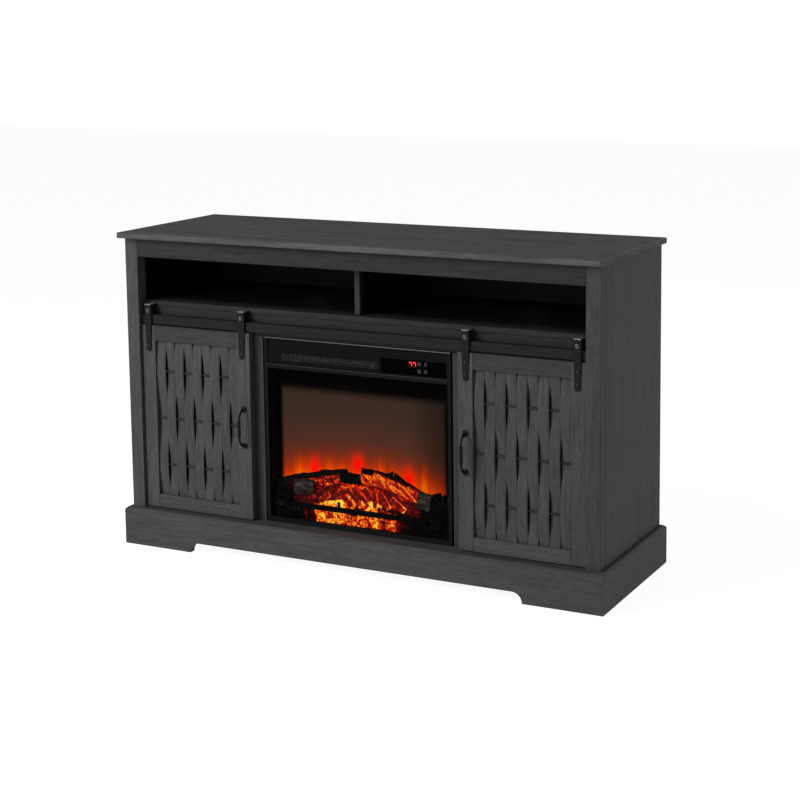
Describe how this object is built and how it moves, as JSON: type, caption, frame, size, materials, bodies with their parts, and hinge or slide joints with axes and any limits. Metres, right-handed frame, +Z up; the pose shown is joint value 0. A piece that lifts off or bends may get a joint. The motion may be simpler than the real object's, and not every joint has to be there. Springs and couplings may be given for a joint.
{
  "type": "fireplace tv stand",
  "caption": "Charcoal wood media console on an arched plinth, with open bays under the top, an electric firebox in the middle and woven-slat doors that slide on a rail in front of it.",
  "frame": {"origin": "on the floor, at the middle of the console's width and depth", "axes": "+X to the right as seen from the front, along the console's width; +Y to the back; +Z up"},
  "size_m": [1.384, 0.458, 0.849],
  "materials": {
    "charcoal_wood": "satin charcoal stain over an open grain",
    "inner_board": "matt charcoal",
    "back_board": "matt dark hardboard",
    "dark_iron": "satin black",
    "black_steel": "matt black",
    "bezel_metal": "satin dark grey",
    "gloss_black": "gloss",
    "tinted_glass": "polished",
    "flame_screen": "translucent, lit from behind",
    "glowing_embers": "moulded, lit from below",
    "red_display": "lit digits",
    "bare_metal": "bare sheet metal",
    "black_rubber": "matt"
  },
  "bodies": {
    "cabinet": {"top_panel": "charcoal_wood", "top_rail": "charcoal_wood", "shelf_board": "charcoal_wood", "shelf_divider": "charcoal_wood", "fascia_rail": "charcoal_wood", "left_side_panel": "charcoal_wood", "right_side_panel": "charcoal_wood", "left_pillar": "charcoal_wood", "right_pillar": "charcoal_wood", "left_inner_stile": "charcoal_wood", "right_inner_stile": "charcoal_wood", "bottom_panel": "charcoal_wood", "plinth_front": "charcoal_wood", "plinth_back": "charcoal_wood", "plinth_left": "charcoal_wood", "plinth_right": "charcoal_wood", "door_rail": "charcoal_wood", "left_partition": "inner_board", "right_partition": "inner_board", "left_cabinet_shelf": "inner_board", "right_cabinet_shelf": "inner_board", "back_panel": "back_board", "log_grate": "dark_iron", "firebox_shell": "black_steel", "firebox_bezel": "bezel_metal", "vent_grille": "bezel_metal", "control_panel": "gloss_black", "firebox_glass": "tinted_glass", "flame_screen": "flame_screen", "log_and_ember_set": "glowing_embers", "display_module": "red_display", "spinner_motor": "bare_metal", "blower_motor": "bare_metal", "heating_element": "bare_metal", "cord_gland": "black_rubber"},
    "left_door": {"left_door": "charcoal_wood", "left_lower_rod": "dark_iron", "left_middle_rod": "dark_iron", "left_upper_rod": "dark_iron", "left_handle": "dark_iron", "left_inner_hanger": "dark_iron", "left_outer_hanger": "dark_iron"},
    "left_inner_wheel": {"left_inner_wheel": "dark_iron"},
    "left_outer_wheel": {"left_outer_wheel": "dark_iron"},
    "right_door": {"right_door": "charcoal_wood", "right_lower_rod": "dark_iron", "right_middle_rod": "dark_iron", "right_upper_rod": "dark_iron", "right_handle": "dark_iron", "right_inner_hanger": "dark_iron", "right_outer_hanger": "dark_iron"},
    "right_inner_wheel": {"right_inner_wheel": "dark_iron"},
    "right_outer_wheel": {"right_outer_wheel": "dark_iron"},
    "timer_button": {"timer_button": "gloss_black"},
    "power_button": {"power_button": "gloss_black"},
    "heat_button": {"heat_button": "gloss_black"},
    "flame_button": {"flame_button": "gloss_black"},
    "flame_spinner": {"flame_spinner": "bare_metal"},
    "blower_wheel": {"blower_wheel": "bare_metal"}
  },
  "joints": [
    {"name": "left_door_slide", "type": "slide", "parent": "cabinet", "child": "left_door", "axis": [1, 0, 0], "range_m": [0, 0.297]},
    {"name": "left_inner_wheel_spin", "type": "hinge", "parent": "left_door", "child": "left_inner_wheel", "pos_m": [-0.322, -0.1853, 0.6388], "axis": [0, 1, 0], "range_deg": [0, 1702]},
    {"name": "left_outer_wheel_spin", "type": "hinge", "parent": "left_door", "child": "left_outer_wheel", "pos_m": [-0.615, -0.1853, 0.6388], "axis": [0, 1, 0], "range_deg": [0, 1702]},
    {"name": "right_door_slide", "type": "slide", "parent": "cabinet", "child": "right_door", "axis": [-1, 0, 0], "range_m": [0, 0.297]},
    {"name": "right_inner_wheel_spin", "type": "hinge", "parent": "right_door", "child": "right_inner_wheel", "pos_m": [0.322, -0.1853, 0.6388], "axis": [0, -1, 0], "range_deg": [0, 1702]},
    {"name": "right_outer_wheel_spin", "type": "hinge", "parent": "right_door", "child": "right_outer_wheel", "pos_m": [0.615, -0.1853, 0.6388], "axis": [0, -1, 0], "range_deg": [0, 1702]},
    {"name": "timer_button_press", "type": "slide", "parent": "cabinet", "child": "timer_button", "axis": [0, 1, 0], "range_m": [0, 0.001], "stiffness_N_per_m": 600},
    {"name": "power_button_press", "type": "slide", "parent": "cabinet", "child": "power_button", "axis": [0, 1, 0], "range_m": [0, 0.001], "stiffness_N_per_m": 600},
    {"name": "heat_button_press", "type": "slide", "parent": "cabinet", "child": "heat_button", "axis": [0, 1, 0], "range_m": [0, 0.001], "stiffness_N_per_m": 600},
    {"name": "flame_button_press", "type": "slide", "parent": "cabinet", "child": "flame_button", "axis": [0, 1, 0], "range_m": [0, 0.001], "stiffness_N_per_m": 600},
    {"name": "flame_spinner_turn", "type": "hinge", "parent": "cabinet", "child": "flame_spinner", "pos_m": [0, -0.0835, 0.15], "axis": [1, 0, 0], "continuous": true},
    {"name": "blower_turn", "type": "hinge", "parent": "cabinet", "child": "blower_wheel", "pos_m": [-0.08, -0.0875, 0.553], "axis": [1, 0, 0], "continuous": true}
  ],
  "couplings": [
    {"joint": "left_inner_wheel_spin", "follows": "left_door_slide", "rad_per_m": 100},
    {"joint": "left_outer_wheel_spin", "follows": "left_door_slide", "rad_per_m": 100},
    {"joint": "right_inner_wheel_spin", "follows": "right_door_slide", "rad_per_m": 100},
    {"joint": "right_outer_wheel_spin", "follows": "right_door_slide", "rad_per_m": 100}
  ]
}
